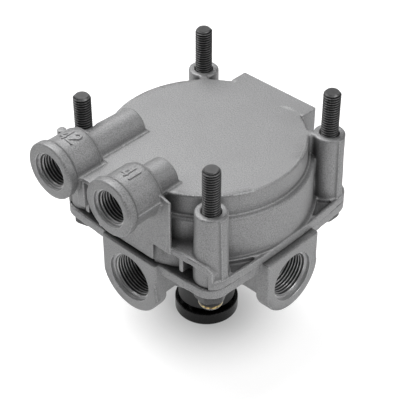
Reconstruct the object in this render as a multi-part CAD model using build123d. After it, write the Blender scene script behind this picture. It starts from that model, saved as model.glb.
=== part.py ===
from build123d import *
import os
from math import cos, radians, sin, sqrt, tan

# Air brake relay valve with two control ports, lengths in millimetres.
# The origin lies on the valve axis, in the plane of the four post tops that a bracket
# is clamped against. +Z points up along the studs and -Y is the side of the control ports.

# Mounting pattern and the four long bolts
bolt_spacing = 76.8
bolt_r = 4.0
bolt_shank_r = 3.6
bolt_reach = 21.6
bolt_point = 1.05
bolt_head_flats = 13.0
bolt_head_height = 5.4
bolt_head_bevel = 1.0
bolt_head_inset = 0.4
bolt_hole_clearance = 0.45
stud_room_r = 5.4
cap_r = 5.5
cap_height = 6.0
cap_round = 3.5

# Flanges that the two castings meet on
split_z = -36.3
flange_margin = 11.0
lower_flange_step = 0.8
upper_flange_floor = 2.3
upper_rim_height = 4.2
upper_rim_width = 1.8
lower_flange_thickness = 4.8
flange_corner_r = 9.0
flange_edge_round = 0.5

# Dome of the upper housing, which fits between the posts; each ledge is a step outwards
dome_post_gap = 2.1
dome_edge_round = 0.9
tier_height = 9.8
ring_ledge = 1.1
ring_step = 0.8
shoulder_ledge = 1.9
shoulder_round = 1.5
wall_draft = 0.6
drum_ledge = 1.6
drum_height = 4.8
crown_thickness = 4.0
dome_wall = 8.0
chamber_wall = 5.1

# Corner posts, webs and fins
post_r = 7.2
post_foot_r = 7.7
post_pad_r = 8.4
post_pad_height = 5.3
post_pad_bevel = 1.0
web_width = 3.9
web_round = 1.0
fin_width = 3.8
fin_top_z = -1.0
fin_top_reach = 0.35
fin_foot_reach = 0.9

# Flat lobe on the back of the dome
lobe_half = 21.0
lobe_reach = 2.6
lobe_round = 2.0

# Front wall, shelf and the recesses under it
front_step = 0.6
front_wall_thickness = 3.4
front_wall_margin = 0.8
front_relief = 1.6
front_relief_depth = 2.7
stub_thickness = 1.5
stub_peak_offset = 0.8
stub_peak_z = 2.9
stub_width = 4.5
stub_end_z = 1.6
stub_round = 0.5
deck_thickness = 13.0
foredeck_reach = 11.2
foredeck_thickness = 2.2
foredeck_left = -23.7
foredeck_right = 0.0
foredeck_rib_left = -20.3
foredeck_rib_width = 4.4
foredeck_rib_height = 16.0
shelf_height = 13.7
shelf_thickness = 3.2
shelf_start_x = 18.0
shelf_end_reach = 6.6
shelf_end_thickness = 1.6
shelf_behind_bolt = 5.0
shelf_round = 5.5
recess_start_right = 13.8
recess_start_left = 20.5
recess_fin_x = 29.3
recess_fin_width = 2.0
recess_fin_gap = 3.2
recess_fin_setback = 1.4

# Control port tubes, both on the plane of the post tops, placed from the front of the wall
port_41_x = 6.9
port_42_x = -29.6
control_reach = 17.8
collar_r = 13.4
collar_length = 4.5
collar_round = 0.7
tube_r = 12.2
tube_behind_front = 1.2
tube_ring_length = 1.9
tube_ring_drop = 0.6
narrow_r = 8.5
narrow_end_r = 8.0
narrow_taper_length = 28.0
narrow_shift = 0.3
port_41_behind_front = 15.3
port_42_behind_front = 32.1
tube_foot_width = 0.9
tube_foot_height = 0.5
tube_foot_depth = 1.0
control_thread_r = 8.0
control_thread_depth = 15.5
control_counterbore_r = 9.0
control_counterbore_depth = 1.6
control_passage_r = 2.2
control_drop_r = 2.0
control_passage_wall = 3.0
control_drop_wall = 1.1
control_drop_setback = 3.0
nub_r = 2.1
nub_height = 7.5
nub_top_z = 5.2
nub_offset = 1.2
nub_behind_front = 2.2

# The two pistons and the snap ring that stops the upper one
piston_clearance = 0.05
piston_stroke = 5.0
piston_land = 1.7
piston_cord_r = 1.75
cord_play = 0.05
groove_play = 0.3
piston_plate = 3.0
piston_skirt = 3.0
piston_rib_width = 2.4
piston_rib_count = 6
piston_round = 1.0
control_piston_top_gap = 1.6
control_stem_r = 6.0
relay_top_gap = 2.8
stem_gap = 0.3
relay_hub_r = 10.5
relay_hub_height = 6.0
relay_hub_taper = 2.0
relay_stem_r = 6.8
relay_stem_bore_r = 4.4
relay_vent_r = 1.5
relay_vent_drop = 5.0
seat_lip = 0.7
seat_lip_height = 1.2
snap_ring_width = 1.2
snap_ring_depth = 0.7
snap_ring_lip = 0.6
stop_gap = 0.2
snap_ring_inner = 1.9
snap_ring_gap_angle = 24.0

# Lower housing, measured down from the flanges
lower_drum_r = 33.0
lower_drum_depth = 27.7
lower_floor_thickness = 4.0
delivery_chamber_r = 29.0
column_r = 17.0
column_drop = 5.2
column_round = 1.0
valve_bore_r = 12.5
guide_bore_r = 14.0
guide_ledge_height = 0.5
neck_r = 18.0
neck_lip = 1.1
neck_round = 1.0
seat_hole_r = 8.8
seat_rim_r = 10.2
seat_plate = 3.5
seat_rim_height = 1.2
seal_wall = 2.1
seal_land = 0.6
seal_cord_r = 1.0

# Large ports of the lower housing
large_port_drop = 16.1
supply_boss_reach = 1.9
delivery_boss_reach = 3.9
boss_half = 16.9
boss_r = 17.5
boss_length = 6.8
boss_round = 0.8
boss_neck_r = 14.7
boss_root = 23.0
large_thread_r = 11.0
large_thread_depth = 16.5
large_counterbore_r = 12.1
large_counterbore_depth = 2.0
supply_passage_r = 7.0
delivery_passage_r = 9.0
supply_passage_wall = 3.2

# Valve, its spring and its guide
exhaust_gap = 2.4
valve_play = 0.15
seat_play = 0.05
valve_r = 11.0
valve_rubber_thickness = 2.8
valve_rubber_round = 0.4
valve_head_thickness = 2.5
valve_stem_r = 6.2
valve_stem_bore_r = 4.2
valve_stem_length = 28.0
valve_key = 0.8
valve_key_width = 1.2
guide_length = 10.5
guide_clearance = 0.05
guide_tail_r = 11.2
guide_tail_bore_r = 9.6
guide_collar_r = 7.6
guide_collar_gap = 1.2
guide_cord_r = 1.0
guide_cord_depth = 6.0
stem_cord_r = 0.9
stem_cord_depth = 4.0
circlip_thickness = 1.2
circlip_depth = 0.7
circlip_inner_r = 12.0
circlip_gap_angle = 40.0
ring_play = 0.1
ring_eye_share = 0.55
ring_eye_hole_share = 0.45
spring_wire_r = 0.7
spring_turns = 4.5
spring_r = 9.4
spring_seat_thickness = 1.0
spring_seat_r = 11.6
spring_seat_play = 0.2

# Exhaust parts under the lower housing
sleeve_r = 13.8
sleeve_gap = 0.3
sleeve_length = 16.7
sleeve_clearance = 0.1
guide_tail_end = 2.0
exhaust_ring_r = 15.4
exhaust_ring_gap = 0.3
exhaust_ring_height = 6.4
exhaust_ring_wall = 1.4
exhaust_floor_thickness = 1.5
exhaust_collar_wall = 1.5
exhaust_collar_reach = 7.5
exhaust_spokes = 3
exhaust_spoke_width = 2.0
exhaust_hub_r = 2.6
flap_thickness = 1.0
flap_edge_thickness = 0.6
flap_stem_r = 1.2
flap_knob_r = 1.7
flap_tip_r = 0.7
flap_knob_height = 1.6
flap_floor_gap = 0.5
flap_play = 0.05

# Rounding of the moulded parts, how far joined shapes reach into each other,
# how far a cut goes past a face and how near a corner must lie to be picked
moulded_round = 0.5
overlap = 0.5
cut_over = 1.0
pick = 0.1

# Values worked out from the sizes above
bolt_xy = bolt_spacing / 2
bolt_circle_r = sqrt(2) * bolt_xy
corners = [(sx * bolt_xy, sy * bolt_xy) for sx in (-1, 1) for sy in (-1, 1)]
dome_r = bolt_circle_r - post_r - dome_post_gap
ring_r = dome_r + ring_ledge
shoulder_r = ring_r + shoulder_ledge
wall_foot_r = shoulder_r + wall_draft
drum_r = wall_foot_r + drum_ledge
upper_bore_r = dome_r - dome_wall
relay_bore_r = wall_foot_r - chamber_wall
seal_ring_r = relay_bore_r + seal_wall
seal_groove_half = seal_cord_r + groove_play / 2
lobe_y = dome_r + lobe_reach
upper_flange_half = bolt_xy + flange_margin
lower_flange_half = upper_flange_half - lower_flange_step
front_y = -upper_flange_half + front_step
foredeck_y = front_y - foredeck_reach
control_face_y = front_y - control_reach
tube_back_y = front_y + tube_behind_front
port_41_end_y = front_y + port_41_behind_front
port_42_end_y = front_y + port_42_behind_front
front_wall_right = port_41_x + tube_r
front_wall_left = port_42_x - tube_r - front_wall_margin
stub_peak_x = front_wall_right + stub_peak_offset
stub_end_x = stub_peak_x + stub_width
nub_x = front_wall_left - nub_offset
nub_y = front_y + nub_behind_front
shelf_end_x = bolt_xy + shelf_end_reach
shelf_back_y = -bolt_xy + shelf_behind_bolt
tier_z = -tier_height
rim_top_z = split_z + upper_rim_height
floor_z = split_z + upper_flange_floor
drum_top_z = split_z + drum_height
lower_bottom_z = split_z - lower_flange_thickness
large_port_z = split_z - large_port_drop
supply_face_y = -lower_flange_half - supply_boss_reach
delivery_face_x = lower_flange_half + delivery_boss_reach
column_top = split_z - column_drop
lower_drum_bottom = split_z - lower_drum_depth
delivery_floor = lower_drum_bottom + lower_floor_thickness
guide_ledge_z = lower_drum_bottom + guide_ledge_height
guide_bottom = guide_ledge_z - guide_length
guide_cord_z = guide_ledge_z - guide_cord_depth
stem_cord_z = guide_ledge_z - stem_cord_depth
neck_bottom = guide_bottom - circlip_thickness - 2 * ring_play - neck_lip
sleeve_top = neck_bottom - sleeve_gap
sleeve_bottom = sleeve_top - sleeve_length
guide_tail_bottom = sleeve_bottom - guide_tail_end
exhaust_ring_top = guide_tail_bottom - exhaust_ring_gap
exhaust_floor_z = exhaust_ring_top - exhaust_ring_height
exhaust_collar_top = guide_tail_bottom + exhaust_collar_reach
shelf_top_z = split_z + shelf_height
shelf_bottom_z = shelf_top_z - shelf_thickness
recess_end_x = shelf_end_x - shelf_end_thickness
piston_height = 2 * piston_land + 2 * piston_cord_r + groove_play
control_piston_top = -crown_thickness - control_piston_top_gap
snap_ring_top = control_piston_top - piston_height - piston_stroke - stop_gap
snap_ring_bottom = snap_ring_top - snap_ring_width
upper_bore_bottom = snap_ring_bottom - snap_ring_lip
relay_piston_top = upper_bore_bottom - relay_top_gap
seat_z = column_top - seat_plate - seat_rim_height
valve_top = seat_z - seat_play
relay_stem_bottom = valve_top + exhaust_gap
valve_travel = piston_stroke - exhaust_gap + valve_play
valve_head_bottom = valve_top - valve_rubber_thickness - valve_head_thickness
guide_collar_top = valve_head_bottom - valve_travel - guide_collar_gap
spring_seat_top = guide_ledge_z + spring_seat_thickness
exhaust_collar_r = guide_tail_bore_r - sleeve_clearance
exhaust_collar_inner = exhaust_collar_r - exhaust_collar_wall
exhaust_floor_top = exhaust_floor_z + exhaust_floor_thickness
spoke_bottom = exhaust_floor_top + flap_floor_gap
spoke_top = spoke_bottom + exhaust_floor_thickness
flap_r = exhaust_collar_inner - ring_play
tube_ring_end = tube_back_y + tube_ring_length
control_thread_end = control_face_y + control_thread_depth


def turned(*outline):
    """A turned solid. Each corner is (radius, height) or (radius, height, rounding)."""
    face = make_face(Polyline(*[corner[:2] for corner in outline], close=True))
    for corner in outline:
        if len(corner) == 3:
            vertex = face.vertices().sort_by_distance((corner[0], corner[1], 0))[0]
            face = fillet(vertex, corner[2])
    return revolve(Plane.XZ * face, Axis.Z)


def ring(inner_r, outer_r, bottom, top):
    """A plain ring about the valve axis."""
    return turned((inner_r, bottom), (outer_r, bottom), (outer_r, top), (inner_r, top))


def o_ring(centre_r, cord_r, height):
    """A round cord ring about the valve axis."""
    return Pos(0, 0, height) * Torus(centre_r, cord_r)


def post_at(x, y, radius, bottom, top):
    """An upright cylinder between two heights."""
    return Pos(x, y, bottom) * Cylinder(radius, top - bottom, align=(Align.CENTER, Align.CENTER, Align.MIN))


def along_y(x, z, radius, start, end, end_r=None):
    """A cylinder, or a cone with end_r, that lies along Y from start to end."""
    place = Pos(x, start, z) * Rot(-90, 0, 0)
    align = (Align.CENTER, Align.CENTER, Align.MIN)
    if end_r is None:
        return place * Cylinder(radius, end - start, align=align)
    return place * Cone(radius, end_r, end - start, align=align)


def box(x0, x1, y0, y1, z0, z1):
    """A box between two corners."""
    return Pos((x0 + x1) / 2, (y0 + y1) / 2, (z0 + z1) / 2) * Box(x1 - x0, y1 - y0, z1 - z0)


def bowed_square(half, corner_r):
    """A square with slightly bowed sides, whose rounded corners are centred on the bolts."""
    reach = half - corner_r
    offset = (2 * bolt_xy ** 2 - reach ** 2) / (2 * (reach - bolt_xy))
    radius = half + offset
    face = Pos(offset, 0) * Circle(radius)
    for x, y in ((-offset, 0), (0, offset), (0, -offset)):
        face = face & (Pos(x, y) * Circle(radius))
    sharp = face.vertices().filter_by(lambda v: min(abs(v.X), abs(v.Y)) > reach)
    return fillet(sharp, corner_r)


def plate(face, bottom, top):
    """A flat face made into a plate between two heights."""
    return extrude(Pos(0, 0, bottom) * face, amount=top - bottom)


def crown():
    """The flat top of the dome with its four webs, post heads and the lobe, as one plate."""
    face = Circle(dome_r) + Pos(0, lobe_y / 2) * Rectangle(2 * lobe_half, lobe_y)
    web_start = dome_r - web_width
    web = Pos((web_start + bolt_circle_r) / 2, 0) * Rectangle(bolt_circle_r - web_start, web_width)
    for number, (x, y) in enumerate(corners):
        face += Pos(x, y) * Circle(post_r)
        face += Rot(0, 0, 45 + 90 * number) * web
    joints = face.vertices().filter_by(lambda v: abs(abs(v.X) - abs(v.Y)) < web_width)
    face = fillet(joints, web_round)
    lobe_corners = face.vertices().filter_by(
        lambda v: v.Y > dome_r / 2 and abs(abs(v.X) - lobe_half) < pick)
    face = fillet(lobe_corners, lobe_round)
    top = plate(face, tier_z - ring_step, 0)
    return fillet(top.faces().sort_by(Axis.Z)[-1].outer_wire().edges(), dome_edge_round)


def lower_tier():
    """The wide lower part of the dome with the stepped ring above its shoulder."""
    return turned(
        (0, tier_z),
        (ring_r, tier_z),
        (ring_r, tier_z - ring_step),
        (shoulder_r, tier_z - ring_step, shoulder_round),
        (wall_foot_r, split_z),
        (0, split_z),
    )


def corner_post(x, y):
    """A post with a drafted side, a round pad at its foot and a narrow fin on its outer side."""
    post = Pos(x, y) * turned(
        (0, tier_z), (post_r, tier_z), (post_foot_r, split_z + post_pad_height),
        (post_pad_r, split_z + post_pad_height - post_pad_bevel), (post_pad_r, split_z), (0, split_z))
    side = 1 if x > 0 else -1
    fin = make_face(Polyline(
        (x, fin_top_z), (x + side * (post_r + fin_top_reach), fin_top_z),
        (x + side * (post_foot_r + fin_foot_reach), split_z), (x, split_z), close=True))
    return post + extrude(Plane.XZ.offset(-y) * fin, amount=fin_width / 2, both=True)


def upper_flange():
    """The thin floor, the raised rim and the round foot of the chamber wall."""
    outline = bowed_square(upper_flange_half, flange_corner_r)
    inner = bowed_square(upper_flange_half - upper_rim_width, flange_corner_r - upper_rim_width)
    flange = plate(outline, split_z, rim_top_z) - plate(inner, floor_z, rim_top_z + cut_over)
    flange += plate(outline & Circle(drum_r), split_z, drum_top_z)
    return flange


def rounded_slab(x0, x1, top, depth_y0, depth_y1, radius):
    """A slab over the split plane, seen from the front, with its outer upper corner rounded."""
    face = make_face(Polyline((x0, split_z), (x1, split_z), (x1, top), (x0, top), close=True))
    face = fillet(face.vertices().sort_by_distance((x1, top, 0))[0], radius)
    return extrude(Plane.XZ.offset(-depth_y1) * face, amount=depth_y1 - depth_y0)


def shelf(side):
    """The raised shelf over the open recess beside the front wall, on the side given."""
    outline = plate(bowed_square(lower_flange_half, flange_corner_r), split_z, 0)
    front = front_y - cut_over
    block = rounded_slab(shelf_start_x, shelf_end_x, shelf_top_z, front, -bolt_xy, shelf_round)
    block += box(shelf_start_x, bolt_xy, front, shelf_back_y, shelf_bottom_z, shelf_top_z)
    if side < 0:
        block = mirror(block, about=Plane.YZ)
    return block & outline


def recess(side):
    """The open space under a shelf, round the chamber wall and the corner post."""
    start = recess_start_right if side > 0 else recess_start_left
    front = front_y - 2 * cut_over
    inner_round = shelf_round - shelf_end_thickness
    space = rounded_slab(start, recess_end_x, shelf_bottom_z, front, -bolt_xy, inner_round)
    space += box(start, bolt_xy, front, shelf_back_y, split_z, shelf_bottom_z)
    space = Pos(0, 0, -cut_over) * space + space
    fin = box(recess_fin_x - recess_fin_width / 2, recess_fin_x + recess_fin_width / 2,
              front_y + recess_fin_setback, -bolt_xy + post_r, split_z + recess_fin_gap, shelf_bottom_z)
    if side < 0:
        space = mirror(space, about=Plane.YZ)
        fin = mirror(fin, about=Plane.YZ)
    space -= turned((0, shelf_bottom_z), (shoulder_r, shelf_bottom_z), (drum_r, split_z),
                    (drum_r, split_z - 2 * cut_over), (0, split_z - 2 * cut_over))
    space -= post_at(side * bolt_xy, -bolt_xy, post_foot_r, split_z - 2 * cut_over, 0)
    return space - fin


def front_wall():
    """The upright wall that carries the control tubes, with the deck behind it."""
    wall = box(front_wall_left, front_wall_right, front_y, front_y + front_wall_thickness, split_z, 0)
    face = make_face(Polyline(
        (port_41_x, split_z), (stub_end_x, split_z), (stub_end_x, stub_end_z), (stub_peak_x, stub_peak_z),
        (port_41_x, stub_peak_z), close=True))
    for x, z in ((stub_end_x, stub_end_z), (stub_peak_x, stub_peak_z)):
        face = fillet(face.vertices().sort_by_distance((x, z, 0))[0], stub_round)
    wall += extrude(Plane.XZ.offset(-front_y) * face, amount=-stub_thickness)
    deck_left = port_42_x - narrow_r + tube_foot_width
    deck_right = port_41_x + narrow_r
    wall += box(deck_left, deck_right, front_y + overlap, -dome_r / 2, -deck_thickness, 0)
    wall += box(foredeck_left, foredeck_right, foredeck_y, front_y + overlap, -foredeck_thickness, 0)
    wall += box(foredeck_rib_left, foredeck_rib_left + foredeck_rib_width, foredeck_y, front_y + overlap,
                -foredeck_rib_height, 0)
    return wall


def front_relief_cut():
    """What is taken off the flange under the front wall: the part that stands proud and a low gap."""
    outside_y = -max(upper_flange_half, drum_r) - cut_over
    cut = box(-recess_start_left, recess_start_right, outside_y, front_y,
              split_z - cut_over, drum_top_z + cut_over)
    cut += box(-recess_start_left, recess_start_right, outside_y,
               front_y + front_relief_depth, split_z - cut_over, split_z + front_relief)
    seal_land_r = seal_ring_r + seal_groove_half + seal_land
    return cut - post_at(0, 0, seal_land_r, split_z - 2 * cut_over, 0)


def control_tube(x, end_y):
    """One control port tube: collar, body, narrow part and the foot strip along the deck."""
    collar = along_y(x, 0, collar_r, control_face_y, control_face_y + collar_length)
    tube = fillet(collar.edges().filter_by(GeomType.CIRCLE), collar_round)
    tube += along_y(x, 0, tube_r, control_face_y + collar_length / 2, tube_back_y)
    tube += along_y(x, 0, tube_r - tube_ring_drop, tube_back_y, tube_ring_end)
    taper = (narrow_r - narrow_end_r) / narrow_taper_length
    end_r = narrow_r - taper * (end_y - tube_ring_end)
    narrow = along_y(x + narrow_shift, 0, narrow_r, tube_ring_end, end_y, end_r)
    tube += fillet(narrow.edges().filter_by(GeomType.CIRCLE).sort_by(Axis.Y)[-1], collar_round)
    foot = narrow_r + tube_foot_width
    tube += box(x, x + foot, tube_ring_end, end_y, -tube_foot_depth, tube_foot_height)
    wide_foot = tube_r + tube_foot_width
    collar_back = control_face_y + collar_length - overlap
    tube += box(x, x + wide_foot, collar_back, tube_ring_end, -tube_foot_depth, tube_foot_height)
    return tube


def control_bores(x, end_y, drop_y, drop_bottom):
    """The thread bore, the passage behind it and the drop into the housing."""
    bores = along_y(x, 0, control_thread_r, control_face_y - cut_over, control_thread_end)
    bores += along_y(x, 0, control_counterbore_r, control_face_y - cut_over,
                     control_face_y + control_counterbore_depth)
    bores += along_y(x, 0, control_passage_r, control_thread_end, end_y - control_passage_wall)
    return bores + post_at(x, drop_y, control_drop_r, drop_bottom, 0)


def upper_housing():
    """The cast cover with the dome, posts, control tubes and both piston bores."""
    body = crown() + lower_tier() + upper_flange()
    body += box(-lobe_half, lobe_half, 0, lobe_y, split_z, tier_z)
    for x, y in corners:
        body += corner_post(x, y)
    body += front_wall()
    for side in (-1, 1):
        body += shelf(side)
    body += control_tube(port_41_x, port_41_end_y) + control_tube(port_42_x, port_42_end_y)
    body += post_at(nub_x, nub_y, nub_r, nub_top_z - nub_height, nub_top_z)
    for side in (-1, 1):
        body -= recess(side)
    body -= front_relief_cut()
    body -= turned(
        (0, -crown_thickness), (upper_bore_r, -crown_thickness), (upper_bore_r, upper_bore_bottom),
        (relay_bore_r, upper_bore_bottom), (relay_bore_r, split_z - cut_over), (0, split_z - cut_over))
    groove_r = upper_bore_r + snap_ring_depth
    body -= ring(upper_bore_r - cut_over, groove_r, snap_ring_bottom - ring_play, snap_ring_top + ring_play)
    drop_41_y = -sqrt((relay_bore_r - control_drop_r - control_drop_wall) ** 2 - port_41_x ** 2)
    body -= control_bores(port_41_x, port_41_end_y, drop_41_y, upper_bore_bottom - cut_over)
    drop_42_y = port_42_end_y - control_passage_wall - control_drop_setback
    body -= control_bores(port_42_x, port_42_end_y, drop_42_y, -crown_thickness - cut_over)
    for x, y in corners:
        body -= post_at(x, y, bolt_r + bolt_hole_clearance, split_z - cut_over, cut_over)
    # The tube of port 42 runs past one stud and leaves room round it
    return body - post_at(-bolt_xy, -bolt_xy, stud_room_r, 0, tube_r)


def split_ring(inner_r, outer_r, bottom, top, gap_angle, gap_at):
    """A flat snap ring, open over gap_angle, with an eye at each end."""
    band = ring(inner_r, outer_r, bottom, top)
    half = radians(gap_angle / 2)
    reach = 2 * outer_r
    spread = reach * tan(half)
    wedge = make_face(Polyline((0, 0), (reach, -spread), (reach, spread), close=True))
    band -= Rot(0, 0, gap_at) * plate(wedge, bottom - cut_over, top + cut_over)
    eye_r = (outer_r - inner_r) * ring_eye_share
    eye_at = outer_r - ring_play - eye_r
    for side in (-1, 1):
        angle = radians(gap_at) + side * (half + eye_r / outer_r)
        x, y = eye_at * cos(angle), eye_at * sin(angle)
        band += post_at(x, y, eye_r, bottom, top)
        band -= post_at(x, y, eye_r * ring_eye_hole_share, bottom - cut_over, top + cut_over)
    return band


def boss():
    """A large port boss along -Y: a D-shaped collar in front of a narrower neck."""
    face = Rectangle(2 * boss_half, -large_port_z + split_z, align=(Align.CENTER, Align.MIN))
    face += Circle(boss_r) & Rectangle(2 * boss_half, boss_r, align=(Align.CENTER, Align.MAX))
    collar = extrude(Plane.XZ * face, amount=boss_length)
    collar = fillet(collar.faces().sort_by(Axis.Y)[0].outer_wire().edges(), boss_round)
    neck_face = Circle(boss_neck_r)
    neck_height = -large_port_z + lower_bottom_z + overlap
    neck_face += Rectangle(2 * boss_neck_r, neck_height, align=(Align.CENTER, Align.MIN))
    return collar, neck_face


def large_port(face_distance):
    """A boss whose face lies face_distance from the valve axis, on the -Y side."""
    collar, neck_face = boss()
    body = Pos(0, -face_distance + boss_length, large_port_z) * collar
    neck_end = face_distance - boss_length + overlap
    neck = extrude(Plane.XZ.offset(boss_root) * neck_face, amount=neck_end - boss_root)
    return body + Pos(0, 0, large_port_z) * neck


def large_bore(face_distance, passage_r, room_r):
    """The thread bore of a large port on the -Y side, and its passage into the round room behind it."""
    thread_end = -face_distance + large_thread_depth
    passage_end = -sqrt(room_r ** 2 - passage_r ** 2) + cut_over
    bore = along_y(0, large_port_z, large_thread_r, -face_distance - cut_over, thread_end)
    bore += along_y(0, large_port_z, large_counterbore_r, -face_distance - cut_over,
                    -face_distance + large_counterbore_depth)
    return bore + along_y(0, large_port_z, passage_r, thread_end - cut_over, passage_end)


def lower_housing():
    """The cast body with one supply port, two delivery ports and the inlet seat."""
    flange = plate(bowed_square(lower_flange_half, flange_corner_r), lower_bottom_z, split_z)
    flange = fillet(flange.faces().sort_by(Axis.Z)[-1].outer_wire().edges(), flange_edge_round)
    supply = large_port(-supply_face_y)
    delivery = large_port(delivery_face_x)
    body = flange + post_at(0, 0, lower_drum_r, lower_drum_bottom, lower_bottom_z + overlap)
    body += turned((0, neck_bottom), (neck_r, neck_bottom, neck_round), (neck_r, lower_drum_bottom + overlap),
                   (0, lower_drum_bottom + overlap))
    body += supply + Rot(0, 0, 90) * delivery + Rot(0, 0, -90) * delivery
    body -= post_at(0, 0, delivery_chamber_r, delivery_floor, split_z + cut_over)
    body += turned((0, delivery_floor - overlap), (column_r, delivery_floor - overlap),
                   (column_r, column_top, column_round), (0, column_top))
    body += along_y(0, large_port_z, supply_passage_r + supply_passage_wall, -lower_drum_r + cut_over,
                    -valve_bore_r)
    seat_hole = post_at(0, 0, seat_hole_r, seat_z - cut_over, column_top + cut_over)
    valve_room = turned(
        (0, column_top - seat_plate), (valve_bore_r, column_top - seat_plate),
        (valve_bore_r, guide_ledge_z), (guide_bore_r, guide_ledge_z),
        (guide_bore_r, neck_bottom - cut_over), (0, neck_bottom - cut_over))
    body -= valve_room
    body += ring(seat_hole_r, seat_rim_r, seat_z, column_top - seat_plate + overlap)
    body -= seat_hole
    body -= large_bore(-supply_face_y, supply_passage_r, valve_bore_r)
    for turn in (90, -90):
        body -= Rot(0, 0, turn) * large_bore(delivery_face_x, delivery_passage_r, delivery_chamber_r)
    body -= ring(seal_ring_r - seal_groove_half, seal_ring_r + seal_groove_half,
                 split_z - 2 * seal_cord_r - 2 * cord_play, split_z + cut_over)
    body -= ring(guide_bore_r - cut_over, guide_bore_r + circlip_depth,
                 guide_bottom - circlip_thickness - 2 * ring_play, guide_bottom)
    for x, y in corners:
        body -= post_at(x, y, bolt_r + bolt_hole_clearance, lower_bottom_z - cut_over, split_z + cut_over)
    return body


def cover_bolts():
    """Four long bolts, put in from below, whose ends stand out as mounting studs."""
    head_face = RegularPolygon(bolt_head_flats / 2, 6, major_radius=False)
    head_bottom = lower_bottom_z - bolt_head_height
    head = plate(head_face, head_bottom, lower_bottom_z)
    corner_r = bolt_head_flats / sqrt(3)
    head &= turned(
        (0, lower_bottom_z), (corner_r, lower_bottom_z), (corner_r, head_bottom + bolt_head_bevel),
        (bolt_head_flats / 2 - bolt_head_inset, head_bottom), (0, head_bottom))
    shank_start = lower_bottom_z - overlap
    shank = turned((0, shank_start), (bolt_shank_r, shank_start), (bolt_shank_r, 0), (bolt_r, 0),
                   (bolt_r, bolt_reach - bolt_point), (bolt_r - bolt_point, bolt_reach), (0, bolt_reach))
    bolt = head + shank
    return [Pos(x, y) * bolt for x, y in corners]


def front_bolt_cap():
    """The small plated dome under the head of the front bolt."""
    top = lower_bottom_z - bolt_head_height
    cap = turned((0, top - cap_height), (cap_r, top - cap_height, cap_round), (cap_r, top), (0, top))
    return Pos(bolt_xy, -bolt_xy) * cap


def piston_rim(top, bore_r):
    """The grooved rim profile of a piston: outer radius, groove radius and three heights."""
    outer = bore_r - piston_clearance
    groove_r = outer - 2 * piston_cord_r - cord_play
    upper = top - piston_land
    return outer, groove_r, upper, upper - 2 * piston_cord_r - groove_play, top - piston_height


def piston_ribs(inner_r, outer_r, bottom, top):
    """Radial ribs that stiffen a piston plate from below."""
    rib = box(inner_r, outer_r, -piston_rib_width / 2, piston_rib_width / 2, bottom, top)
    return [Rot(0, 0, turn * 360 / piston_rib_count) * rib for turn in range(piston_rib_count)]


def control_piston():
    """The upper piston: a ribbed plate, a grooved rim and a solid stem onto the relay piston."""
    outer, groove_r, upper, lower, bottom = piston_rim(control_piston_top, upper_bore_r)
    stem_bottom = relay_piston_top + stem_gap
    plate_bottom = control_piston_top - piston_plate
    skirt_inner = groove_r - piston_skirt
    body = turned(
        (0, control_piston_top), (outer, control_piston_top), (outer, upper), (groove_r, upper),
        (groove_r, lower), (outer, lower), (outer, bottom), (skirt_inner, bottom),
        (skirt_inner, plate_bottom), (control_stem_r, plate_bottom), (control_stem_r, stem_bottom, piston_round),
        (0, stem_bottom))
    for rib in piston_ribs(control_stem_r - overlap, skirt_inner + overlap, bottom, plate_bottom + overlap):
        body += rib
    return body


def relay_piston():
    """The main piston: ribbed plate, grooved rim and the hollow stem that ends in a valve seat."""
    outer, groove_r, upper, lower, bottom = piston_rim(relay_piston_top, relay_bore_r)
    plate_bottom = relay_piston_top - piston_plate
    skirt_inner = groove_r - piston_skirt
    hub_bottom = plate_bottom - relay_hub_height
    lip_r = relay_stem_bore_r + 2 * seat_lip
    body = turned(
        (0, relay_piston_top), (outer, relay_piston_top), (outer, upper), (groove_r, upper),
        (groove_r, lower), (outer, lower), (outer, bottom), (skirt_inner, bottom),
        (skirt_inner, plate_bottom), (relay_hub_r, plate_bottom, piston_round), (relay_hub_r, hub_bottom),
        (relay_stem_r, hub_bottom - relay_hub_taper), (relay_stem_r, relay_stem_bottom + seat_lip_height),
        (lip_r, relay_stem_bottom), (relay_stem_bore_r, relay_stem_bottom),
        (relay_stem_bore_r, hub_bottom), (0, hub_bottom))
    for rib in piston_ribs(relay_hub_r - overlap, skirt_inner + overlap, bottom, plate_bottom + overlap):
        body += rib
    vent = Rot(0, 90, 0) * Cylinder(relay_vent_r, 4 * relay_stem_r)
    return body - Pos(0, 0, hub_bottom - relay_vent_drop) * vent


def piston_o_ring(top, bore_r):
    """The cord ring in the groove of a piston, a running clearance inside the bore."""
    outer, groove_r, upper, lower, bottom = piston_rim(top, bore_r)
    return o_ring(outer - piston_cord_r, piston_cord_r, (upper + lower) / 2)


def valve_body():
    """The moulded valve: a head that carries the rubber, and a hollow stem in the guide."""
    top = valve_top - valve_rubber_thickness
    key_r = valve_stem_r + valve_key_width
    stem_bottom = valve_head_bottom - valve_stem_length
    return turned(
        (valve_stem_bore_r, top + valve_key), (key_r, top + valve_key), (key_r, top), (valve_r, top),
        (valve_r, valve_head_bottom), (valve_stem_r, valve_head_bottom), (valve_stem_r, stem_bottom),
        (valve_stem_bore_r, stem_bottom))


def valve_rubber():
    """The rubber face that closes on the inlet seat and on the piston stem."""
    top = valve_top
    bottom = top - valve_rubber_thickness
    key_r = valve_stem_r + valve_key_width
    return turned(
        (valve_stem_bore_r, bottom + valve_key), (key_r, bottom + valve_key), (key_r, bottom),
        (valve_r, bottom), (valve_r, top, valve_rubber_round), (valve_stem_bore_r, top))


def valve_spring():
    """The coil spring that lifts the valve onto the inlet seat, with ground flat ends."""
    height = valve_head_bottom - spring_seat_top
    path = Pos(0, 0, spring_seat_top) * Helix(height / spring_turns, height, spring_r)
    profile = Plane(origin=path @ 0, z_dir=path % 0) * Circle(spring_wire_r)
    coil = sweep(profile, path=path, is_frenet=True)
    return coil & post_at(0, 0, spring_r + 2 * spring_wire_r, spring_seat_top, valve_head_bottom)


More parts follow.
